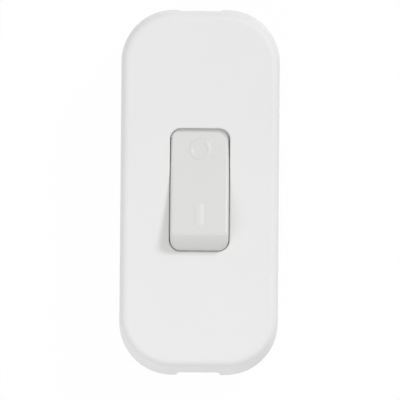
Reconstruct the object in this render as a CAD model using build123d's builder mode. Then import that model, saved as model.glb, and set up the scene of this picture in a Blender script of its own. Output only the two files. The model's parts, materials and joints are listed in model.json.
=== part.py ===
"""In-line rocker switch for a lamp cord.

Two drafted half shells close over a two-pole see-saw mechanism. The rocker turns on two
trunnions under the upper shell. A sprung plunger in each half of the rocker slides over a
see-saw blade, which tips on the edge of its supply terminal and closes on its lamp terminal.
Every piece is drawn at rest, switched off: the lamp end of the rocker is pressed in.

Frame: X across, Y along the cord towards the lamp, Z up from the resting face. Millimetres.
"""

import os
from math import cos, radians, sin, tan

from build123d import *

os.makedirs("parts", exist_ok=True)

# Housing
length = 68.0  # over the two ends, at the parting line
width = 29.5  # over the two sides, at the parting line
corner_radius = 9.8  # plan corners at the parting line
face_height = 19.0  # flat face above the resting face
parting_height = 8.0
end_draft = radians(7.8)
side_draft = radians(1.5)
top_edge_radius = 1.4
bottom_edge_radius = 1.6
wall = 1.8
face_wall = 1.8
floor = 2.0
seam_chamfer = 0.2
lip_height = 1.2
lip_thickness = 0.8
lip_clearance = 0.1

# Cord inlets, split by the parting line
inlet_width = 8.0
inlet_height = 6.4
inlet_corner = 1.2
inlet_relief = 0.8  # end wall under each inlet, set back from the parting line

# Rocker
pivot_height = 16.4
rocker_width = 10.8
rocker_reach = 11.5  # its ends are turned about the pivot at this radius
rocker_corner = 1.9  # plan corners
rocker_gap = 0.12  # at its sides, to the window
rocker_end_gap = 0.06  # at its ends, to the window
rocker_tilt = radians(10.0)  # to either side of level
rocker_wall = 1.3
rocker_edge_radius = 0.6
crown_height = 3.75  # middle of the dished crown above the pivot
crest_setback = 2.7  # crest from the supply end of the rocker
crest_rise = 0.8  # above the crown's middle
lamp_drop = 0.25  # lamp end of the crown below its middle
crown_thickness = 1.8
crest_radius = 0.9
crest_angle = 47.0  # degrees, turned by the crest
roll_radius = 8.0
roll_angle = 32.0  # degrees, enough to run out past the rocker's end
toe_overlap = 0.45  # catch of the stop toes behind the window's ends
toe_width = 7.0
toe_thickness = 1.0
stop_clearance = 0.08
trunnion_radius = 1.3
trunnion_setback = 0.1  # its end, inside the cheek's outer side
trunnion_clearance = 0.08
cheek_thickness = 1.8
cheek_length = 7.0
cheek_drop = 4.0  # below the pivot
window_edge_radius = 0.3

# Poles
pole_offset = 3.2  # each lane's distance from the middle plane
partition_thickness = 1.0
guide_thickness = 1.0
guide_length = 5.0
guide_rise = 1.5  # above the blade's pivot
side_clearance = 0.2

# See-saw blades
blade_pivot_height = 8.0
blade_tilt = radians(9.0)
blade_bend = radians(8.0)  # each arm is bent up from the middle
blade_width = 3.6
blade_thickness = 0.9
lamp_arm = 10.0
supply_arm = 6.0
knife_clearance = 0.08
contact_gap = 0.1  # left between the tips when switched on

# Contact tips
tip_radius = 1.2
tip_height = 0.7
tip_shank_radius = 0.55
tip_clearance = 0.05

# Plungers and their springs
plunger_radius = 1.2
plunger_shank = 4.0  # straight length behind its round nose
plunger_clearance = 0.08
plunger_lift = 0.1  # nose clear of the blade at mid travel
barrel_radius = 2.0
barrel_depth = 5.2  # below the pivot
spring_wire = 0.36
spring_radius = 0.85  # to the middle of the wire
spring_turns = 4.5
spring_seat = 1.2  # top of the barrel's bore, above the pivot
spring_clearance = 0.05  # at each end

# Terminals
strip_thickness = 0.8
strip_width = 3.4
strip_bend = 0.9
pillar_width = 4.4
pillar_depth = 6.0
pillar_height = 7.0
wire_hole_radius = 1.3
wire_hole_rise = 3.0  # above the pillar's foot
terminal_gap = 1.5  # between pillar and cord clamp
terminal_screw_radius = 1.4
terminal_head_radius = 1.9
terminal_head_height = 1.5
terminal_head_lift = 0.5  # head stands off the pillar with no wire in it
screw_clearance = 0.05
slot_width = 0.6
slot_depth = 0.7
pocket_thickness = 1.0
pocket_height = 3.0
hold_down_thickness = 0.9
hold_down_clearance = 0.1

# Cord clamps
clamp_setback = 7.5  # from the housing's end to the clamp's middle
clamp_depth = 5.0
clamp_thickness = 3.0
clamp_arch = 1.4
clamp_seat = 7.2
clamp_boss_radius = 2.3
clamp_edge_radius = 0.5
clamp_screw_radius = 1.2
clamp_screw_length = 4.5
clamp_head_radius = 2.0
clamp_head_height = 1.5
cradle_thickness = 0.8
cradle_spacing = 2.4
cradle_notch = 0.9

# Housing screws
screw_x = 9.8
screw_y = 11.0
screw_post_radius = 3.4
screw_boss_radius = 2.7
screw_boss_gap = 0.15
screw_web = 1.2
screw_radius = 1.15
screw_length = 10.0
screw_head_radius = 2.2
screw_head_height = 1.6
screw_head_recess = 3.0
screw_shoulder = 2.0
cross_width = 0.8
cross_span = 2.6
cross_depth = 1.0

# Places that follow from the sizes
ceiling = face_height - face_wall
window_width = rocker_width + 2 * rocker_gap
window_reach = rocker_reach + rocker_end_gap
clamp_y = length / 2 - clamp_setback
pillar_y = clamp_y - clamp_depth / 2 - terminal_gap - pillar_depth / 2
pillar_top = floor + pillar_height
clamp_screw_x = inlet_width / 2 + clamp_boss_radius + side_clearance
clamp_top = clamp_seat + clamp_thickness
inlet_bottom = parting_height - inlet_height / 2
inlet_cut = wall + clamp_setback - clamp_depth / 2  # from outside the end to the clamp
screw_post_top = screw_head_recess + screw_shoulder
guide_top = blade_pivot_height + guide_rise
strip_middle = floor + strip_thickness / 2
contact_reach = lamp_arm - tip_radius - 2 * tip_clearance
toe_reach = window_reach + toe_overlap
toe_top = (ceiling - pivot_height - stop_clearance - toe_reach * sin(rocker_tilt)) / cos(rocker_tilt)
skirt_bottom = toe_top - toe_thickness
hollow_top = crown_height - crown_thickness
plunger_nose = pivot_height - blade_pivot_height - blade_thickness - plunger_lift
plunger_top = plunger_nose - plunger_radius - plunger_shank
spring_rise = plunger_top + spring_seat - spring_wire - 2 * spring_clearance
spring_foot = plunger_top - spring_clearance - spring_wire / 2

# Slopes of the blade's arms at rest, and of the lamp arm when it lies on the fixed tip
lamp_slope = blade_tilt + blade_bend
supply_slope = blade_tilt - blade_bend
on_slope = blade_bend - blade_tilt
contact_y = contact_reach * cos(on_slope)
contact_top = (
    blade_pivot_height
    + contact_reach * sin(on_slope)
    - tip_height
    - contact_gap
)
shelf = contact_top - tip_height - strip_thickness / 2
riser_y = contact_y + tip_radius + strip_thickness + strip_bend

poles = {"left": -pole_offset, "right": pole_offset}
supply_end, lamp_end = -1, 1
screw_places = ((screw_x, screw_y), (-screw_x, -screw_y))
clamp_screw_places = [(x, y) for y in (-clamp_y, clamp_y) for x in (-clamp_screw_x, clamp_screw_x)]
pillar_places = [(x, y) for y in (-pillar_y, pillar_y) for x in poles.values()]

# Frames: a side frame looks along X, with Y to its right and Z up
housing_side = Plane(origin=(0, 0, 0), x_dir=(0, 1, 0), z_dir=(1, 0, 0))
pivot_side = Plane(origin=(0, 0, pivot_height), x_dir=(0, 1, 0), z_dir=(1, 0, 0))
rocker_frame = Plane(
    origin=(0, 0, pivot_height),
    x_dir=(1, 0, 0),
    z_dir=(0, sin(rocker_tilt), cos(rocker_tilt)),
)
rocker_side = Plane(origin=rocker_frame.origin, x_dir=rocker_frame.y_dir, z_dir=rocker_frame.x_dir)


def housing_outline(height, inset=0.0):
    """Section of the drafted housing at a height, drawn in from its outer wall."""
    rise = abs(height - parting_height)
    RectangleRounded(
        width - 2 * (rise * tan(side_draft) + inset),
        length - 2 * (rise * tan(end_draft) + inset),
        corner_radius - rise * tan(side_draft) - inset,
    )


def inlet_outline():
    """Mouth for the cord, drawn on a plane across the cord's axis at the parting line."""
    RectangleRounded(inlet_width, inlet_height, inlet_corner)


# Rocker window: a disc about the pivot, so that its ends run parallel to the rocker's
with BuildPart() as window:
    with BuildSketch(pivot_side):
        Circle(window_reach)
    extrude(amount=window_width / 2, both=True)
    fillet(edges().filter_by(GeomType.CIRCLE), radius=rocker_corner + rocker_gap)

# Upper housing
with BuildPart() as upper_housing:
    for height in (parting_height, face_height):
        with BuildSketch(Plane.XY.offset(height)):
            housing_outline(height)
    loft(ruled=True)
    fillet(faces().sort_by(Axis.Z)[-1].edges(), radius=top_edge_radius)
    chamfer(faces().sort_by(Axis.Z)[0].edges(), length=seam_chamfer)
    for height in (parting_height, ceiling):
        with BuildSketch(Plane.XY.offset(height)):
            housing_outline(height, wall)
    loft(ruled=True, mode=Mode.SUBTRACT)
    # Rebate for the lower housing's lip
    with BuildSketch(Plane.XY.offset(parting_height)):
        housing_outline(parting_height, wall - lip_thickness - lip_clearance)
    extrude(amount=lip_height + lip_clearance, mode=Mode.SUBTRACT)
    # Window
    add(window.part, mode=Mode.SUBTRACT)
    fillet(faces().sort_by(Axis.Z)[-1].inner_wires().edges(), radius=window_edge_radius)
    # Cheeks that carry the rocker's trunnions in slots open at the bottom
    with BuildSketch(Plane.XY.offset(pivot_height - cheek_drop)):
        with Locations(
            (-(window_width + cheek_thickness) / 2, 0),
            ((window_width + cheek_thickness) / 2, 0),
        ):
            Rectangle(cheek_thickness, cheek_length)
    extrude(amount=ceiling - pivot_height + cheek_drop)
    with BuildSketch(pivot_side):
        Circle(trunnion_radius + trunnion_clearance)
        Rectangle(
            2 * (trunnion_radius + trunnion_clearance),
            cheek_drop,
            align=(Align.CENTER, Align.MAX),
        )
    extrude(amount=window_width / 2 + cheek_thickness, both=True, mode=Mode.SUBTRACT)
    # Ribs that hold the terminal pillars down on the floor
    with BuildSketch(Plane.XY.offset(pillar_top + hold_down_clearance)):
        for end in (supply_end, lamp_end):
            with Locations((0, end * (pillar_y - (pillar_depth - hold_down_thickness) / 2))):
                Rectangle(2 * pole_offset + pillar_width, hold_down_thickness)
    extrude(amount=ceiling - pillar_top - hold_down_clearance)
    # Screw bosses, each tied to the side wall by a web
    with BuildSketch(Plane.XY.offset(screw_post_top + screw_boss_gap)):
        with Locations(*screw_places):
            Circle(screw_boss_radius)
    extrude(amount=ceiling - screw_post_top - screw_boss_gap)
    web_bottom = parting_height + lip_height + 2 * lip_clearance
    web_end = (width - wall) / 2
    with BuildSketch(Plane.XY.offset(web_bottom)):
        for x, y in screw_places:
            with Locations(((x + web_end * x / screw_x) / 2, y)):
                Rectangle(web_end - screw_x, screw_web)
    extrude(amount=ceiling - web_bottom)
    with BuildSketch(Plane.XY.offset(screw_post_top + screw_boss_gap)):
        with Locations(*screw_places):
            Circle(screw_radius + screw_clearance)
    extrude(amount=screw_length - screw_shoulder, mode=Mode.SUBTRACT)
    # Upper half of each cord inlet
    for end in (supply_end, lamp_end):
        with BuildSketch(Plane.XZ.offset(-end * (length / 2 + wall))):
            with Locations((0, parting_height)):
                inlet_outline()
        extrude(amount=end * inlet_cut, mode=Mode.SUBTRACT)
upper_housing.part.label = "upper_housing"
export_step(upper_housing.part, "parts/upper_housing.step")

# Lower housing
with BuildPart() as lower_housing:
    for height in (0, parting_height):
        with BuildSketch(Plane.XY.offset(height)):
            housing_outline(height)
    loft(ruled=True)
    fillet(faces().sort_by(Axis.Z)[0].edges(), radius=bottom_edge_radius)
    chamfer(faces().sort_by(Axis.Z)[-1].edges(), length=seam_chamfer)
    for height in (floor, parting_height):
        with BuildSketch(Plane.XY.offset(height)):
            housing_outline(height, wall)
    loft(ruled=True, mode=Mode.SUBTRACT)
    # Locating lip
    with BuildSketch(Plane.XY.offset(parting_height)):
        housing_outline(parting_height, wall - lip_thickness)
        with BuildSketch(Plane.XY.offset(parting_height), mode=Mode.SUBTRACT):
            housing_outline(parting_height, wall)
    extrude(amount=lip_height)
    # Partition between the poles, and guides outside the blades
    with BuildSketch(Plane.XY.offset(floor)):
        Rectangle(partition_thickness, 2 * pillar_y + pillar_depth)
    extrude(amount=pillar_height)
    with BuildSketch(Plane.XY.offset(floor)):
        guide_x = pole_offset + blade_width / 2 + side_clearance + guide_thickness / 2
        with Locations((-guide_x, 0), (guide_x, 0)):
            Rectangle(guide_thickness, guide_length)
    extrude(amount=guide_top - floor)
    # Pockets round the terminal pillars, open towards the cord above a low sill
    with BuildSketch(Plane.XY.offset(floor)):
        pocket_x = pole_offset + pillar_width / 2 + side_clearance + pocket_thickness / 2
        for end in (supply_end, lamp_end):
            with Locations((-pocket_x, end * pillar_y), (pocket_x, end * pillar_y)):
                Rectangle(pocket_thickness, pillar_depth)
    extrude(amount=pocket_height)
    with BuildSketch(Plane.XY.offset(floor)):
        sill_y = pillar_y + pillar_depth / 2 + side_clearance + pocket_thickness / 2
        with Locations((0, -sill_y), (0, sill_y)):
            Rectangle(2 * pocket_x + pocket_thickness, pocket_thickness)
    extrude(amount=(wire_hole_rise - wire_hole_radius) * 2 / 3)
    # Bosses under the cord clamps, with notched ribs between them to grip the cord
    with BuildSketch(Plane.XY.offset(floor)):
        with Locations(*clamp_screw_places):
            Circle(clamp_boss_radius)
    extrude(amount=clamp_seat - floor)
    for end in (supply_end, lamp_end):
        for step in (-cradle_spacing / 2, cradle_spacing / 2):
            with BuildSketch(Plane.XZ.offset(-(end * clamp_y + step))):
                with BuildLine():
                    Polyline(
                        (-clamp_screw_x, floor),
                        (clamp_screw_x, floor),
                        (clamp_screw_x, inlet_bottom),
                        (inlet_width / 4, inlet_bottom),
                        (0, inlet_bottom - cradle_notch),
                        (-inlet_width / 4, inlet_bottom),
                        (-clamp_screw_x, inlet_bottom),
                        close=True,
                    )
                make_face()
            extrude(amount=cradle_thickness / 2, both=True)
    with BuildSketch(Plane.XY.offset(clamp_seat)):
        with Locations(*clamp_screw_places):
            Circle(clamp_screw_radius + screw_clearance)
    extrude(amount=-clamp_screw_length, mode=Mode.SUBTRACT)
    # Posts and counterbored holes for the housing screws
    with BuildSketch(Plane.XY.offset(floor)):
        with Locations(*screw_places):
            Circle(screw_post_radius)
    extrude(amount=screw_post_top - floor)
    with Locations(*[Location((x, y, 0), (180, 0, 0)) for x, y in screw_places]):
        CounterBoreHole(
            radius=screw_radius + 2 * screw_clearance,
            counter_bore_radius=screw_head_radius + 2 * side_clearance,
            counter_bore_depth=screw_head_recess,
            depth=screw_post_top,
        )
    # Lower half of each cord inlet
    for end in (supply_end, lamp_end):
        with BuildSketch(Plane.XZ.offset(-end * (length / 2 + wall))):
            with Locations((0, parting_height)):
                inlet_outline()
        extrude(amount=end * inlet_cut, mode=Mode.SUBTRACT)
    # Relief in the end wall under each inlet, where the cord bends down
    with BuildSketch():
        with Locations((0, -length / 2), (0, length / 2)):
            Rectangle(inlet_width, 2 * inlet_relief)
    extrude(amount=parting_height, mode=Mode.SUBTRACT)
lower_housing.part.label = "lower_housing"
export_step(lower_housing.part, "parts/lower_housing.step")

# Housing screws, driven from below
with BuildPart() as housing_screws:
    with BuildSketch(Plane.XY.offset(screw_head_recess)):
        with Locations(*screw_places):
            Circle(screw_radius)
    extrude(amount=screw_length)
    chamfer(faces().filter_by(Plane.XY).group_by(Axis.Z)[-1].edges(), length=screw_radius / 2)
    with BuildSketch(Plane.XY.offset(screw_head_recess)):
        with Locations(*screw_places):
            Circle(screw_head_radius)
    extrude(amount=-screw_head_height)
    fillet(faces().filter_by(Plane.XY).group_by(Axis.Z)[0].edges(), radius=screw_head_height / 3)
    with BuildSketch(Plane.XY.offset(screw_head_recess - screw_head_height)):
        with Locations(*screw_places):
            Rectangle(cross_span, cross_width)
            Rectangle(cross_width, cross_span)
    extrude(amount=cross_depth, taper=8, mode=Mode.SUBTRACT)
housing_screws.part.label = "housing_screws"
export_step(housing_screws.part, "parts/housing_screws.step")

# Cord clamps
for name, end in (("supply_cord_clamp", supply_end), ("lamp_cord_clamp", lamp_end)):
    with BuildPart() as cord_clamp:
        with BuildSketch(Plane.XY.offset(clamp_seat)):
            with Locations((0, end * clamp_y)):
                SlotCenterToCenter(2 * clamp_screw_x, clamp_depth)
        extrude(amount=clamp_thickness)
        fillet(faces().sort_by(Axis.Z)[-1].edges(), radius=clamp_edge_radius)
        # Arch over the cord, with a gripping ridge along its middle
        with BuildSketch(Plane.XZ.offset(-end * clamp_y)):
            with BuildLine():
                ThreePointArc(
                    (-inlet_width / 2, clamp_seat),
                    (0, clamp_seat + clamp_arch),
                    (inlet_width / 2, clamp_seat),
                )
                Line((-inlet_width / 2, clamp_seat), (inlet_width / 2, clamp_seat))
            make_face()
        extrude(amount=clamp_depth, both=True, mode=Mode.SUBTRACT)
        with BuildSketch(Plane.XY.offset(clamp_seat)):
            with Locations(*[place for place in clamp_screw_places if place[1] * end > 0]):
                Circle(clamp_screw_radius + 2 * screw_clearance)
        extrude(amount=clamp_thickness, mode=Mode.SUBTRACT)
    cord_clamp.part.label = name
    export_step(cord_clamp.part, f"parts/{name}.step")

# Clamp screws
with BuildPart() as clamp_screws:
    with BuildSketch(Plane.XY.offset(clamp_top)):
        with Locations(*clamp_screw_places):
            Circle(clamp_screw_radius)
    extrude(amount=-(clamp_thickness + clamp_screw_length - 2 * screw_clearance))
    with BuildSketch(Plane.XY.offset(clamp_top)):
        with Locations(*clamp_screw_places):
            Circle(clamp_head_radius)
    extrude(amount=clamp_head_height)
    fillet(faces().filter_by(Plane.XY).group_by(Axis.Z)[-1].edges(), radius=clamp_head_height / 3)
    with BuildSketch(Plane.XY.offset(clamp_top + clamp_head_height)):
        with Locations(*clamp_screw_places):
            Rectangle(2 * clamp_head_radius, slot_width)
    extrude(amount=-slot_depth, mode=Mode.SUBTRACT)
clamp_screws.part.label = "clamp_screws"
export_step(clamp_screws.part, "parts/clamp_screws.step")

# Terminal screws, a little open with no wire under them
with BuildPart() as terminal_screws:
    head_seat = pillar_top + terminal_head_lift
    with BuildSketch(Plane.XY.offset(head_seat)):
        with Locations(*pillar_places):
            Circle(terminal_screw_radius)
    extrude(amount=-(head_seat - floor - wire_hole_rise))
    with BuildSketch(Plane.XY.offset(head_seat)):
        with Locations(*pillar_places):
            Circle(terminal_head_radius)
    extrude(amount=terminal_head_height)
    with BuildSketch(Plane.XY.offset(head_seat + terminal_head_height)):
        with Locations(*pillar_places):
            Rectangle(2 * terminal_head_radius, slot_width)
    extrude(amount=-slot_depth, mode=Mode.SUBTRACT)
terminal_screws.part.label = "terminal_screws"
export_step(terminal_screws.part, "parts/terminal_screws.step")


def pillar(x, end):
    """Terminal pillar of one pole, with its wire hole and screw hole, added to the open part."""
    with BuildSketch(Plane.XY.offset(floor)) as foot:
        with Locations((x, end * pillar_y)):
            Rectangle(pillar_width, pillar_depth)
    extrude(foot.sketch, amount=pillar_height)
    with BuildSketch(Plane.XZ.offset(-end * (pillar_y + pillar_depth / 2))) as wire_hole:
        with Locations((x, floor + wire_hole_rise)):
            Circle(wire_hole_radius)
    extrude(wire_hole.sketch, amount=end * pillar_depth * 3 / 4, mode=Mode.SUBTRACT)
    with BuildSketch(Plane.XY.offset(pillar_top)) as screw_hole:
        with Locations((x, end * pillar_y)):
            Circle(terminal_screw_radius + screw_clearance)
    extrude(screw_hole.sketch, amount=wire_hole_rise - pillar_height, mode=Mode.SUBTRACT)


def blade_side(x, slope):
    """Side frame at a blade's pivot, with its right-hand axis turned up by a slope."""
    return Plane(
        origin=(x, 0, blade_pivot_height),
        x_dir=(0, cos(slope), sin(slope)),
        z_dir=(1, 0, 0),
    )


for side, x in poles.items():
    lane_side = rocker_side.offset(x)
    lamp_arm_foot = Plane(
        origin=(x, 0, blade_pivot_height),
        x_dir=(1, 0, 0),
        z_dir=(0, -sin(lamp_slope), cos(lamp_slope)),
    )

    # Supply terminal: a strip along the floor turns up to the edge that the blade tips on
    with BuildPart() as supply_terminal:
        pillar(x, supply_end)
        with BuildSketch(housing_side.offset(x)):
            with BuildLine():
                FilletPolyline(
                    (-pillar_y, strip_middle),
                    (0, strip_middle),
                    (0, blade_pivot_height),
                    radius=strip_bend,
                )
            trace(line_width=strip_thickness)
            with Locations((0, blade_pivot_height)):
                Circle(strip_thickness / 2)
        extrude(amount=strip_width / 2, both=True)
    supply_terminal.part.label = f"supply_terminal_{side}"
    export_step(supply_terminal.part, f"parts/supply_terminal_{side}.step")

    # Lamp terminal: a strip steps up from the floor to carry the fixed contact tip
    with BuildPart() as lamp_terminal:
        pillar(x, lamp_end)
        with BuildSketch(housing_side.offset(x)):
            with BuildLine():
                FilletPolyline(
                    (pillar_y, strip_middle),
                    (riser_y, strip_middle),
                    (riser_y, shelf),
                    (contact_y - tip_radius - tip_clearance, shelf),
                    radius=strip_bend,
                )
            trace(line_width=strip_thickness)
        extrude(amount=strip_width / 2, both=True)
        with BuildSketch(Plane.XY.offset(shelf)):
            with Locations((x, contact_y)):
                Circle(tip_shank_radius + tip_clearance)
        extrude(amount=strip_thickness, both=True, mode=Mode.SUBTRACT)
    lamp_terminal.part.label = f"lamp_terminal_{side}"
    export_step(lamp_terminal.part, f"parts/lamp_terminal_{side}.step")

    # Fixed contact tip, riveted through the shelf
    with BuildPart() as fixed_tip:
        with BuildSketch(Plane.XY.offset(contact_top)):
            with Locations((x, contact_y)):
                Circle(tip_radius)
        extrude(amount=-tip_height)
        fillet(faces().sort_by(Axis.Z)[-1].edges(), radius=tip_height / 3)
        with BuildSketch(Plane.XY.offset(contact_top - tip_height)):
            with Locations((x, contact_y)):
                Circle(tip_shank_radius)
        extrude(amount=-strip_thickness)
    fixed_tip.part.label = f"fixed_contact_{side}"
    export_step(fixed_tip.part, f"parts/fixed_contact_{side}.step")

    # See-saw blade: two arms bent up from a groove that rides on the supply terminal's edge
    with BuildPart() as blade:
        for slope, reach in ((lamp_slope, lamp_arm), (supply_slope, -supply_arm)):
            with BuildSketch(blade_side(x, slope)):
                with Locations((reach / 2, blade_thickness / 2)):
                    Rectangle(abs(reach), blade_thickness)
            extrude(amount=blade_width / 2, both=True)
        with BuildSketch(blade_side(x, blade_tilt)):
            Circle(blade_thickness)
        extrude(amount=blade_width / 2, both=True)
        with BuildSketch(blade_side(x, blade_tilt)):
            Circle(strip_thickness / 2 + knife_clearance)
            Rectangle(2 * blade_thickness, blade_thickness, align=(Align.CENTER, Align.MAX))
        extrude(amount=blade_width / 2, both=True, mode=Mode.SUBTRACT)
        lamp_corners = edges().filter_by(Axis((0, 0, 0), lamp_arm_foot.z_dir)).sort_by(Axis.Y)[-2:]
        fillet(lamp_corners, radius=blade_width / 3)
        with BuildSketch(lamp_arm_foot):
            with Locations((0, contact_reach)):
                Circle(tip_shank_radius + tip_clearance)
        extrude(amount=blade_thickness, mode=Mode.SUBTRACT)
    blade.part.label = f"see_saw_blade_{side}"
    export_step(blade.part, f"parts/see_saw_blade_{side}.step")

    # Moving contact tip, riveted through the lamp arm
    with BuildPart() as moving_tip:
        with BuildSketch(lamp_arm_foot):
            with Locations((0, contact_reach)):
                Circle(tip_radius)
        extrude(amount=-tip_height)
        fillet(faces().sort_by(Axis.Z)[0].edges(), radius=tip_height / 3)
        with BuildSketch(lamp_arm_foot):
            with Locations((0, contact_reach)):
                Circle(tip_shank_radius)
        extrude(amount=blade_thickness)
    moving_tip.part.label = f"moving_contact_{side}"
    export_step(moving_tip.part, f"parts/moving_contact_{side}.step")

    # Plunger: a round-nosed pin in the rocker's barrel
    with BuildPart() as plunger:
        with BuildSketch(lane_side):
            with BuildLine():
                nose_middle = -plunger_nose + plunger_radius
                Polyline(
                    (0, -plunger_nose),
                    (0, -plunger_top),
                    (plunger_radius, -plunger_top),
                    (plunger_radius, nose_middle),
                )
                RadiusArc((plunger_radius, nose_middle), (0, -plunger_nose), plunger_radius)
            make_face()
        revolve(axis=Axis(lane_side.origin, rocker_frame.z_dir))
    plunger.part.label = f"plunger_{side}"
    export_step(plunger.part, f"parts/plunger_{side}.step")

    # Plunger spring, between the plunger and the top of the barrel's bore
    with BuildPart() as spring:
        with BuildLine(Plane(origin=lane_side.origin - rocker_frame.z_dir * spring_foot)) as coil:
            Helix(
                pitch=spring_rise / spring_turns,
                height=spring_rise,
                radius=spring_radius,
                direction=rocker_frame.z_dir,
            )
        with BuildSketch(Plane(origin=coil.line @ 0, z_dir=coil.line % 0)):
            Circle(spring_wire / 2)
        sweep(path=coil.line, is_frenet=True)
    spring.part.label = f"plunger_spring_{side}"
    export_step(spring.part, f"parts/plunger_spring_{side}.step")

# Rocker
with BuildPart() as rocker:
    with BuildSketch(rocker_side):
        Circle(rocker_reach)
    extrude(amount=rocker_width / 2, both=True)
    fillet(edges().filter_by(GeomType.CIRCLE), radius=rocker_corner)
    # Dished crown that runs out flat at the lamp end and rolls over a crest at the supply end
    with BuildSketch(rocker_side):
        with BuildLine():
            dish = ThreePointArc(
                (crest_setback - rocker_reach, crown_height + crest_rise),
                (0, crown_height),
                (rocker_reach, crown_height - lamp_drop),
            )
            crest = JernArc(dish @ 0, -(dish % 0), crest_radius, crest_angle)
            roll = JernArc(crest @ 1, crest % 1, roll_radius, roll_angle)
            Polyline(
                dish @ 1,
                (rocker_reach + roll_radius, skirt_bottom),
                (-rocker_reach - roll_radius, skirt_bottom),
                roll @ 1,
            )
        make_face()
    extrude(amount=rocker_width, both=True, mode=Mode.INTERSECT)
    # Round the whole rim of the crown, but not the lines across it at the crest
    crown = faces().filter_by(lambda face: face.normal_at().dot(rocker_frame.z_dir) > 0.5)
    cross_lines = crown.edges().filter_by(Axis.X).sort_by(Axis.Y)
    rim = crown.edges().filter_by(Axis.X, reverse=True) + cross_lines[:1] + cross_lines[-1:]
    fillet(rim, radius=rocker_edge_radius)
    # Hollow under the crown
    with BuildSketch(rocker_side):
        Circle(rocker_reach - rocker_wall)
        with Locations((0, hollow_top)):
            Rectangle(
                2 * rocker_reach,
                2 * rocker_reach,
                align=(Align.CENTER, Align.MAX),
                mode=Mode.INTERSECT,
            )
    extrude(amount=rocker_width / 2 - rocker_wall, both=True, mode=Mode.SUBTRACT)
    # Toes at the foot of each end, which stop behind the window's ends
    with BuildSketch(rocker_side):
        toe_root = rocker_reach - rocker_wall
        for end in (supply_end, lamp_end):
            with Locations((end * (toe_root + toe_reach) / 2, (skirt_bottom + toe_top) / 2)):
                Rectangle(toe_reach - toe_root, toe_thickness)
    extrude(amount=toe_width / 2, both=True)
    # Trunnions
    for hand in (-1, 1):
        with BuildSketch(rocker_side.offset(hand * (rocker_width / 2 - rocker_wall))):
            Circle(trunnion_radius)
        extrude(amount=hand * (rocker_wall + rocker_gap + cheek_thickness - trunnion_setback))
    # Barrels for the plungers
    with BuildSketch(rocker_frame.offset(-barrel_depth)):
        with Locations(*[(x, 0) for x in poles.values()]):
            Circle(barrel_radius)
    extrude(amount=barrel_depth + hollow_top)
    with BuildSketch(rocker_frame.offset(-barrel_depth)):
        with Locations(*[(x, 0) for x in poles.values()]):
            Circle(plunger_radius + plunger_clearance)
    extrude(amount=barrel_depth + spring_seat, mode=Mode.SUBTRACT)
rocker.part.label = "rocker"
export_step(rocker.part, "parts/rocker.step")
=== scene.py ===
"""Finishes, marks and studio for an in-line lamp-cord switch with a rocker."""

import json
from math import cos, radians, sin

import bmesh
import bpy
from bpy.props import FloatProperty, FloatVectorProperty, PointerProperty
from mathutils import Matrix, Vector
from mathutils.bvhtree import BVHTree


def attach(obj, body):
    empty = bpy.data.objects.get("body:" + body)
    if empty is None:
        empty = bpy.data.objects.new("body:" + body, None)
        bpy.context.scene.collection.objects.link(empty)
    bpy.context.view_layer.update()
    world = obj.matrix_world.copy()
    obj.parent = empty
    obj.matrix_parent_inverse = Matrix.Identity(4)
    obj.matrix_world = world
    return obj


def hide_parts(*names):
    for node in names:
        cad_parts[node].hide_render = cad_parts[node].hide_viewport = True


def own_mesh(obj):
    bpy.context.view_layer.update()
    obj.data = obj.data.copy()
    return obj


bl_info = {
    "name": "In-line Rocker Switch",
    "version": (1, 0, 0),
    "blender": (4, 5, 0),
    "location": "View3D > Sidebar > Rocker Switch",
    "description": "Plastics, metals, rocker marks and studio for an in-line cord switch",
    "category": "Object",
}

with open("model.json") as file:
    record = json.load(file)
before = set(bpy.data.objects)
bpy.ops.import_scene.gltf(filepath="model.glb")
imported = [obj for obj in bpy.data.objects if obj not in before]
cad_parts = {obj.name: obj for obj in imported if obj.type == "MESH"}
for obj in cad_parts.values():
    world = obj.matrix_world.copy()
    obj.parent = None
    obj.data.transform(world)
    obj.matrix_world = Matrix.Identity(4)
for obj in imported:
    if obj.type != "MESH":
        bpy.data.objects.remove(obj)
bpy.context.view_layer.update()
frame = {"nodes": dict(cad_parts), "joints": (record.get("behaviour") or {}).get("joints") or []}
NODES = frame["nodes"]
JOINTS = {joint["name"]: joint for joint in frame["joints"]}
SIDES = ("left", "right")
MERGE_DISTANCE = 1e-7  # corners of a mesh this close are one, in metres

# Streaks of the metals, in waves per metre along X, Y and Z
STREAKS_ALONG = (2500.0, 150.0, 2500.0)
STREAKS_ROUND = (1500.0, 1500.0, 4000.0)

# Right half of a mark's section, a low ridge with a steep foot: in half widths, and in reliefs above the crown
RAISED_LINE = ((0.08, 0.98), (0.2, 0.93), (0.86, 0.43), (0.92, 0.38), (1.0, -0.05))
RING_STEPS = 72
BAR_CORNER = 0.47  # of the bar's width, so its ends are all but round
BAR_CUTS = 12  # along the bar, so that it follows the crown
ABOVE_CROWN = 0.05  # start of the rays that find the crown, in metres

PAPER = 0.97  # tone of the floor
PAPER_GLOW = 0.97  # share of plain white in the floor as seen, with its shadow in the rest


def colour(name, description, default):
    """A colour setting."""
    return FloatVectorProperty(
        name=name, description=description, default=default, subtype="COLOR", size=3, min=0.0, max=1.0
    )


def span(name, description, default):
    """A length setting, in metres."""
    return FloatProperty(
        name=name, description=description, default=default, subtype="DISTANCE", unit="LENGTH"
    )


def point(name, description, default):
    """A place setting, in metres."""
    return FloatVectorProperty(
        name=name, description=description, default=default, subtype="XYZ", unit="LENGTH"
    )


def angle(name, description, degrees):
    """An angle setting, given in degrees."""
    return FloatProperty(name=name, description=description, default=radians(degrees), subtype="ANGLE")


def power(name, description, default):
    """A lamp's power setting, in watts."""
    return FloatProperty(name=name, description=description, default=default, min=0.0, unit="POWER")


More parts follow.
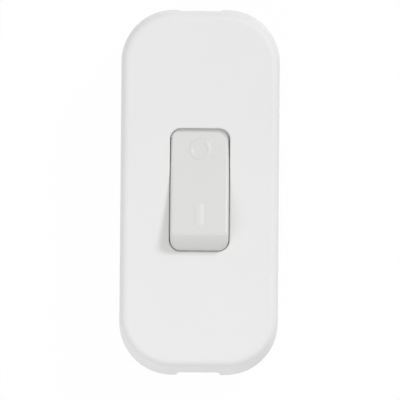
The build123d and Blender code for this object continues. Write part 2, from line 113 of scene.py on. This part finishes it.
class SwitchColours(bpy.types.PropertyGroup):
    """Colours of the plastics and metals."""

    housing: colour("Housing", "White plastic of both shells", (0.83, 0.832, 0.828))
    rocker: colour("Rocker", "Pale plastic of the rocker", (0.735, 0.74, 0.72))
    mark: colour("On mark", "Paler plastic of the raised bar", (0.757, 0.762, 0.742))
    clamp: colour("Cord clamps", "Plain plastic of the clamps", (0.74, 0.74, 0.72))
    plunger: colour("Plungers", "Nylon of the plungers", (0.80, 0.77, 0.68))
    brass: colour("Brass", "Terminals and see-saw blades", (0.76, 0.58, 0.30))
    silver: colour("Contacts", "Silver alloy of the contact tips", (0.86, 0.85, 0.83))
    steel: colour("Screws", "Zinc-plated steel", (0.62, 0.63, 0.65))
    spring: colour("Springs", "Bright spring wire", (0.52, 0.52, 0.53))


class MarkSizes(bpy.types.PropertyGroup):
    """Sizes of the marks on the rocker, measured along it from its pivot."""

    sink: span("Sink", "Depth of the marks' roots in the crown", 0.0002)
    ring_relief: span("Ring relief", "Off mark, height above the crown", 0.00013)
    ring_stroke: span("Ring stroke", "Off mark, width of its line", 0.00088)
    ring_radius: span("Ring radius", "Off mark, to the middle of its line", 0.00165)
    ring_place: span("Ring place", "Off mark, towards the lamp", 0.0070)
    bar_relief: span("Bar relief", "On mark, height above the crown", 0.00017)
    bar_width: span("Bar width", "On mark, over its sides", 0.0017)
    bar_length: span("Bar length", "On mark, over its ends", 0.0048)
    bar_place: span("Bar place", "On mark, towards the supply", -0.0054)


class StudioSettings(bpy.types.PropertyGroup):
    """Camera, light and floor."""

    elevation: angle("Elevation", "Camera above the horizon", 87.7)
    roll: angle("Roll", "Camera about its own axis", 0.45)
    distance: span("Distance", "Camera from the switch", 1.2)
    view_width: span("View width", "Width of the picture at the housing", 0.0743)
    aim: point("Aim", "Point at the picture's middle", (0.00008, -0.00153, 0.010))
    sky: FloatProperty(name="Sky", description="Strength of the even light", default=0.537, min=0.0)
    key: power("Key", "Power of the main lamp", 14.9)
    key_size: span("Key size", "Main lamp, across", 0.6)
    key_place: point("Key place", "Main lamp, beyond the lamp end on the right", (0.981, 1.052, 1.389))
    fill: power("Fill", "Power of the near lamp opposite", 0.26)
    fill_size: span("Fill size", "Near lamp, across", 0.3)
    fill_place: point("Fill place", "Near lamp, opposite the main one", (-0.12, -0.15, 0.25))
    floor_spread: span("Floor spread", "Floor from its middle to its edges", 3.0)
    floor_drop: span("Floor drop", "Floor below the resting face", 0.00001)
    foot_margin: span("Foot margin", "Opening in the floor, beyond the resting face", 0.0009)
    foot_corner: span("Foot corner", "Corners of the opening in the floor", 0.0089)


class Wire:
    """One output of a finish's nodes. Arithmetic on it adds Math nodes."""

    def __init__(self, finish, socket):
        self.finish = finish
        self.socket = socket

    def maths(self, operation, first, second):
        return self.finish.node("ShaderNodeMath", {"operation": operation}, {0: first, 1: second})

    def __add__(self, other):
        return self.maths("ADD", self, other)

    __radd__ = __add__

    def __sub__(self, other):
        return self.maths("SUBTRACT", self, other)

    def __rsub__(self, other):
        return self.maths("SUBTRACT", other, self)

    def __mul__(self, other):
        return self.maths("MULTIPLY", self, other)

    __rmul__ = __mul__


class Finish:
    """Nodes of a material, on the piece's own coordinates, or of the world."""

    def __init__(self, owner):
        self.owner = owner
        owner.use_nodes = True
        self.tree = owner.node_tree
        self.tree.nodes.clear()

    def node(self, kind, settings=None, sockets=None, output=0):
        """Adds a node, sets it up, fills or links its inputs, and gives one of its outputs if it has any."""
        made = self.tree.nodes.new(kind)
        for name, value in (settings or {}).items():
            setattr(made, name, value)
        for name, value in (sockets or {}).items():
            if isinstance(value, Wire):
                self.tree.links.new(value.socket, made.inputs[name])
            else:
                made.inputs[name].default_value = value
        return Wire(self, made.outputs[output]) if made.outputs else None

    def place(self):
        """Position on the piece, in metres."""
        return self.node("ShaderNodeTexCoord", output="Object")

    def stretch(self, scale):
        """Position on the piece with each axis scaled."""
        return self.node("ShaderNodeMapping", {}, {"Vector": self.place(), "Scale": scale})

    def noise(self, scale, detail, roughness=0.5, vector=None):
        """Noise from 0 to 1; scale is in waves per metre."""
        sockets = {
            "Vector": vector or self.place(),
            "Scale": scale,
            "Detail": detail,
            "Roughness": roughness,
        }
        return self.node("ShaderNodeTexNoise", {}, sockets)

    def between(self, factor, low, high):
        """Colour mixed from low to high."""
        sockets = {0: factor, 6: (*low, 1.0), 7: (*high, 1.0)}
        return self.node("ShaderNodeMix", {"data_type": "RGBA"}, sockets, 2)

    def bump(self, height, strength, depth):
        """Normal bent by a height from 0 to 1."""
        return self.node("ShaderNodeBump", {}, {"Height": height, "Strength": strength, "Distance": depth})

    def surface(self, sockets):
        """Closes the material with one shader."""
        shader = self.node("ShaderNodeBsdfPrincipled", {}, sockets)
        self.node("ShaderNodeOutputMaterial", {}, {"Surface": shader})
        return self.owner

    def seen(self):
        """1 where the camera, a reflection or a view through glass looks, and 0 for other light."""
        camera, glossy, through = (
            self.node("ShaderNodeLightPath", output=name)
            for name in ("Is Camera Ray", "Is Glossy Ray", "Is Transmission Ray")
        )
        capped = {"operation": "ADD", "use_clamp": True}
        return self.node("ShaderNodeMath", capped, {0: camera + glossy, 1: through})


def tone(base, factor):
    """A colour made lighter or darker by a factor."""
    return tuple(min(1.0, channel * factor) for channel in base)


def uneven(middle, spread, pattern):
    """A value that a pattern from 0 to 1 moves up and down about its middle."""
    return middle + spread * (pattern - 0.5)


def moulded_plastic(name, base, roughness, shine, grain):
    """Injection-moulded plastic: faint flow clouds, uneven gloss and a fine mould grain of some depth."""
    finish = Finish(bpy.data.materials.new(name))
    clouds = finish.noise(scale=55.0, detail=3.0)
    handling = finish.noise(scale=420.0, detail=4.0, roughness=0.6)
    texture = finish.noise(scale=5200.0, detail=2.0)
    return finish.surface(
        {
            "Base Color": finish.between(clouds, tone(base, 0.985), tone(base, 1.015)),
            "Roughness": uneven(roughness, 0.06, handling),
            "IOR": 1.5,
            "Specular IOR Level": shine,
            "Normal": finish.bump(texture, strength=0.25, depth=grain),
        }
    )


def worked_metal(name, base, tarnish, roughness, streaks):
    """Stamped or drawn metal: streaks along it, blotches darker by a factor and uneven gloss."""
    finish = Finish(bpy.data.materials.new(name))
    blotches = finish.noise(scale=900.0, detail=4.0, roughness=0.6)
    lines = finish.noise(scale=1.0, detail=3.0, roughness=0.6, vector=finish.stretch(streaks))
    return finish.surface(
        {
            "Base Color": finish.between(blotches, tone(base, tarnish), base),
            "Metallic": 1.0,
            "Roughness": uneven(uneven(roughness, 0.15, blotches), 0.12, lines),
            "Normal": finish.bump(lines, strength=0.3, depth=0.00001),
        }
    )


def rocker_gloss(name, base):
    """Glossy plastic of the rocker and its bar."""
    return moulded_plastic(name, base, roughness=0.26, shine=0.3, grain=0.000008)


def dress(material, *names):
    """Gives CAD nodes a finish."""
    for name in names:
        slots = NODES[name].data.materials
        slots.clear()
        slots.append(material)
        for face in NODES[name].data.polygons:
            face.material_index = 0


class SWITCH_OT_shells(bpy.types.Operator):
    """Finish both shells of the housing in white plastic"""

    bl_idname = "rocker_switch.shells"
    bl_label = "Finish Housing"

    def execute(self, context):
        base = context.scene.switch_colours.housing
        white = moulded_plastic("housing_plastic", base, roughness=0.5, shine=0.25, grain=0.00002)
        dress(white, "upper_housing", "lower_housing")
        return {"FINISHED"}


class SWITCH_OT_rocker(bpy.types.Operator):
    """Finish the rocker in glossy pale plastic"""

    bl_idname = "rocker_switch.rocker"
    bl_label = "Finish Rocker"

    def execute(self, context):
        dress(rocker_gloss("rocker_plastic", context.scene.switch_colours.rocker), "rocker")
        return {"FINISHED"}


class SWITCH_OT_inner_plastics(bpy.types.Operator):
    """Finish the cord clamps and plungers in plain plastic"""

    bl_idname = "rocker_switch.inner_plastics"
    bl_label = "Finish Clamps and Plungers"

    def execute(self, context):
        colours = context.scene.switch_colours
        clamp = moulded_plastic("clamp_plastic", colours.clamp, roughness=0.5, shine=0.4, grain=0.00003)
        nylon = moulded_plastic("plunger_nylon", colours.plunger, roughness=0.42, shine=0.4, grain=0.00001)
        dress(clamp, "supply_cord_clamp", "lamp_cord_clamp")
        dress(nylon, "plunger_left", "plunger_right")
        return {"FINISHED"}


class SWITCH_OT_metals(bpy.types.Operator):
    """Finish terminals, blades, contact tips, screws and springs"""

    bl_idname = "rocker_switch.metals"
    bl_label = "Finish Metals"

    def execute(self, context):
        colours = context.scene.switch_colours
        brass = worked_metal("brass", colours.brass, 0.72, roughness=0.34, streaks=STREAKS_ALONG)
        silver = worked_metal("contact_silver", colours.silver, 0.8, roughness=0.3, streaks=STREAKS_ROUND)
        steel = worked_metal("plated_steel", colours.steel, 0.78, roughness=0.36, streaks=STREAKS_ROUND)
        wire = worked_metal("spring_wire", colours.spring, 0.75, roughness=0.28, streaks=STREAKS_ROUND)
        for side in SIDES:
            dress(brass, f"supply_terminal_{side}", f"lamp_terminal_{side}", f"see_saw_blade_{side}")
            dress(silver, f"fixed_contact_{side}", f"moving_contact_{side}")
            dress(wire, f"plunger_spring_{side}")
        dress(steel, "housing_screws", "clamp_screws", "terminal_screws")
        return {"FINISHED"}


def finished_piece(name, shape, material, body):
    """Turns a bmesh into a piece that rides on a body."""
    bmesh.ops.remove_doubles(shape, verts=shape.verts, dist=MERGE_DISTANCE)
    bmesh.ops.recalc_face_normals(shape, faces=shape.faces)
    mesh = bpy.data.meshes.new(name)
    shape.to_mesh(mesh)
    shape.free()
    mesh.materials.append(material)
    for face in mesh.polygons:
        face.use_smooth = True
    piece = bpy.data.objects.new(name, mesh)
    bpy.context.scene.collection.objects.link(piece)
    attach(piece, body)
    return piece


class SWITCH_OT_springs(bpy.types.Operator):
    """Replace each plunger's spring with a merged copy of its own that rides on the rocker"""

    bl_idname = "rocker_switch.springs"
    bl_label = "Fit Springs"

    def execute(self, context):
        for side in SIDES:
            node = NODES[f"plunger_spring_{side}"]
            shape = bmesh.new()
            shape.from_mesh(node.data)
            wire = node.data.materials[0]
            coil = finished_piece(f"spring_coil_{side}", shape, wire, "rocker")
            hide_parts(node.name)
            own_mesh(coil)
        return {"FINISHED"}


def crown_frame():
    """Rocker's own axes at rest, at its pivot: X across, Y along it and Z out of its crown."""
    tilt = JOINTS["rocker_tilt"]
    half_travel = radians(sum(tilt["range_deg"]) / 2)
    return Matrix.Translation(tilt["pos_m"]) @ Matrix.Rotation(-half_travel, 4, "X")


def lay_on_crown(shape):
    """Moves a flat shape, with its heights measured from the crown, onto the rocker."""
    place = crown_frame()
    mesh = NODES["rocker"].data
    crown = BVHTree.FromPolygons(
        [vertex.co for vertex in mesh.vertices], [face.vertices for face in mesh.polygons]
    )
    out = place.to_3x3() @ Vector((0, 0, 1))
    for vertex in shape.verts:
        above = place @ Vector((vertex.co.x, vertex.co.y, ABOVE_CROWN))
        hit = crown.ray_cast(above, -out)[0]
        if hit is None:
            raise RuntimeError("A rocker mark runs off the crown")
        vertex.co = hit + out * vertex.co.z


def rounded(shape, edges, radius, segments):
    """Rounds edges of a bmesh."""
    bmesh.ops.bevel(
        shape,
        geom=edges,
        offset=radius,
        offset_type="OFFSET",
        affect="EDGES",
        segments=segments,
        profile=0.5,
        material=-1,
    )


def raised_ring(radius, width, relief, sink):
    """Ring of a raised line, flat underneath."""
    half = [(x * width / 2, z * relief) for x, z in RAISED_LINE] + [(width / 2, -sink)]
    section = [(-x, z) for x, z in reversed(half)] + half
    ring = bmesh.new()
    corners = [ring.verts.new((radius + x, 0, z)) for x, z in section]
    sides = [ring.edges.new(pair) for pair in zip(corners, corners[1:] + corners[:1])]
    bmesh.ops.spin(
        ring,
        geom=corners + sides,
        cent=(0, 0, 0),
        axis=(0, 0, 1),
        angle=radians(360),
        steps=RING_STEPS,
        use_merge=True,
    )
    return ring


def raised_bar(width, length, relief, sink):
    """Bar of a raised line with round ends, flat underneath."""
    levels = RAISED_LINE[::-1]
    rim = levels[0][1] * relief
    bar = bmesh.new()
    bmesh.ops.create_cube(bar, size=1.0)
    bmesh.ops.scale(bar, vec=(width, length, rim + sink), verts=bar.verts)
    bmesh.ops.translate(bar, verts=bar.verts, vec=(0, 0, (rim - sink) / 2))
    upright = [edge for edge in bar.edges if abs(edge.verts[0].co.z - edge.verts[1].co.z) > sink / 2]
    rounded(bar, upright, BAR_CORNER * width, segments=6)
    bar.normal_update()
    top = max(bar.faces, key=lambda face: face.normal.z)
    for (outer, low), (inner, high) in zip(levels, levels[1:]):
        bmesh.ops.inset_region(
            bar,
            faces=[top],
            thickness=(outer - inner) * width / 2,
            depth=(high - low) * relief,
            use_even_offset=True,
        )
    lengthwise = [edge for edge in bar.edges if abs(edge.verts[0].co.y - edge.verts[1].co.y) > length / 2]
    bmesh.ops.subdivide_edges(bar, edges=lengthwise, cuts=BAR_CUTS)
    return bar


class SWITCH_OT_marks(bpy.types.Operator):
    """Raise the off ring and the on bar on the rocker's crown"""

    bl_idname = "rocker_switch.marks"
    bl_label = "Raise Rocker Marks"

    def execute(self, context):
        sizes = context.scene.switch_marks
        own = NODES["rocker"].data.materials[0]
        pale = rocker_gloss("mark_plastic", context.scene.switch_colours.mark)
        ring = raised_ring(sizes.ring_radius, sizes.ring_stroke, sizes.ring_relief, sizes.sink)
        bar = raised_bar(sizes.bar_width, sizes.bar_length, sizes.bar_relief, sizes.sink)
        for name, shape, place, material in (
            ("off_mark", ring, sizes.ring_place, own),
            ("on_mark", bar, sizes.bar_place, pale),
        ):
            bmesh.ops.translate(shape, verts=shape.verts, vec=(0, place, 0))
            lay_on_crown(shape)
            finished_piece(name, shape, material, "rocker")
        return {"FINISHED"}


def floor_finish():
    """White paper with the switch's soft shadow on it, which can't be seen from below."""
    finish = Finish(bpy.data.materials.new("white_floor"))
    paper = finish.node("ShaderNodeBsdfDiffuse", {}, {"Color": (PAPER, PAPER, PAPER, 1.0)})
    glow = finish.node("ShaderNodeEmission", {}, {"Color": (1.0, 1.0, 1.0, 1.0), "Strength": 1.0})
    above = finish.node("ShaderNodeMixShader", {}, {0: PAPER_GLOW * finish.seen(), 1: paper, 2: glow})
    below = finish.node("ShaderNodeBsdfTransparent")
    underside = finish.node("ShaderNodeNewGeometry", output="Backfacing")
    mixed = finish.node("ShaderNodeMixShader", {}, {0: underside, 1: above, 2: below})
    finish.node("ShaderNodeOutputMaterial", {}, {"Surface": mixed})
    return finish.owner


def floor_sheet(studio):
    """Sheet just under the switch, left open below its resting face so that light reaches it there."""
    corners = [vertex.co for vertex in NODES["lower_housing"].data.vertices]
    rest = min(corner.z for corner in corners)
    foot = [corner for corner in corners if corner.z - rest < MERGE_DISTANCE]
    across, along = (max(corner[i] for corner in foot) + studio.foot_margin for i in (0, 1))
    sheet = bmesh.new()
    bmesh.ops.create_grid(sheet, x_segments=1, y_segments=1, size=1.0)
    bmesh.ops.scale(sheet, vec=(across, along, 1.0), verts=sheet.verts)
    bmesh.ops.bevel(
        sheet,
        geom=sheet.verts[:],
        offset=studio.foot_corner,
        offset_type="OFFSET",
        affect="VERTICES",
        segments=12,
        profile=0.5,
        material=-1,
    )
    opening = sheet.faces[:]
    made = bmesh.ops.extrude_edge_only(sheet, edges=sheet.edges[:])["geom"]
    outer = [item for item in made if isinstance(item, bmesh.types.BMVert)]
    reach = (studio.floor_spread / across, studio.floor_spread / along, 1.0)
    bmesh.ops.scale(sheet, vec=reach, verts=outer)
    bmesh.ops.delete(sheet, geom=opening, context="FACES_ONLY")
    bmesh.ops.translate(sheet, verts=sheet.verts, vec=(0, 0, rest - studio.floor_drop))
    bmesh.ops.recalc_face_normals(sheet, faces=sheet.faces)
    if sheet.faces[:][0].normal.z < 0:
        bmesh.ops.reverse_faces(sheet, faces=sheet.faces)
    return sheet


def even_light(strength):
    """World that lights from all sides and looks white itself."""
    sky = Finish(bpy.data.worlds.new("even_light"))
    level = strength + (1.0 - strength) * sky.seen()
    glow = sky.node("ShaderNodeBackground", {}, {"Color": (1.0, 1.0, 1.0, 1.0), "Strength": level})
    sky.node("ShaderNodeOutputWorld", {}, {"Surface": glow})
    return sky.owner


def soft_lamp(name, place, size, power):
    """Round area lamp that shines on the switch."""
    lamp = bpy.data.lights.new(name, "AREA")
    lamp.shape = "DISK"
    lamp.size = size
    lamp.energy = power
    stand = bpy.data.objects.new(name, lamp)
    stand.location = place
    stand.rotation_euler = Vector(place).to_track_quat("Z", "Y").to_euler()
    bpy.context.scene.collection.objects.link(stand)


class SWITCH_OT_stage(bpy.types.Operator):
    """Set the white floor, the even light, both lamps and the camera"""

    bl_idname = "rocker_switch.stage"
    bl_label = "Set Studio"

    def execute(self, context):
        scene = context.scene
        studio = scene.switch_studio
        scene.view_settings.view_transform = "Standard"

        sheet = floor_sheet(studio)
        mesh = bpy.data.meshes.new("floor")
        sheet.to_mesh(mesh)
        sheet.free()
        mesh.materials.append(floor_finish())
        floor = bpy.data.objects.new("floor", mesh)
        scene.collection.objects.link(floor)

        scene.world = even_light(studio.sky)
        soft_lamp("key_lamp", studio.key_place, studio.key_size, studio.key)
        soft_lamp("fill_lamp", studio.fill_place, studio.fill_size, studio.fill)

        lens = bpy.data.cameras.new("camera")
        lens.sensor_width = 36.0
        lens.lens = lens.sensor_width * studio.distance / studio.view_width
        lens.clip_start = 0.01
        camera = bpy.data.objects.new("camera", lens)
        direction = Vector((0.0, -cos(studio.elevation), sin(studio.elevation)))
        camera.location = Vector(studio.aim) + direction * studio.distance
        facing = direction.to_track_quat("Z", "Y").to_matrix().to_4x4()
        camera.rotation_euler = (facing @ Matrix.Rotation(studio.roll, 4, "Z")).to_euler()
        scene.collection.objects.link(camera)
        scene.camera = camera
        return {"FINISHED"}


class SWITCH_PT_panel(bpy.types.Panel):
    """Sizes, colours and steps of the switch"""

    bl_idname = "SWITCH_PT_panel"
    bl_label = "Rocker Switch"
    bl_space_type = "VIEW_3D"
    bl_region_type = "UI"
    bl_category = "Rocker Switch"

    def draw(self, context):
        for name, group in GROUPS.items():
            box = self.layout.box()
            for setting in group.__annotations__:
                box.prop(getattr(context.scene, name), setting)
        for step in STEPS:
            self.layout.operator(step.bl_idname)


STEPS = (
    SWITCH_OT_shells,
    SWITCH_OT_rocker,
    SWITCH_OT_inner_plastics,
    SWITCH_OT_metals,
    SWITCH_OT_springs,
    SWITCH_OT_marks,
    SWITCH_OT_stage,
)
GROUPS = {"switch_colours": SwitchColours, "switch_marks": MarkSizes, "switch_studio": StudioSettings}


def register():
    for group in GROUPS.values():
        bpy.utils.register_class(group)
    for name, group in GROUPS.items():
        setattr(bpy.types.Scene, name, PointerProperty(type=group))
    for step in (*STEPS, SWITCH_PT_panel):
        bpy.utils.register_class(step)


def unregister():
    for step in reversed((*STEPS, SWITCH_PT_panel)):
        bpy.utils.unregister_class(step)
    for name, group in GROUPS.items():
        delattr(bpy.types.Scene, name)
        bpy.utils.unregister_class(group)


def main():
    register()
    for step in STEPS:
        family, name = step.bl_idname.split(".")
        getattr(getattr(bpy.ops, family), name)()


if __name__ == "__main__":
    main()
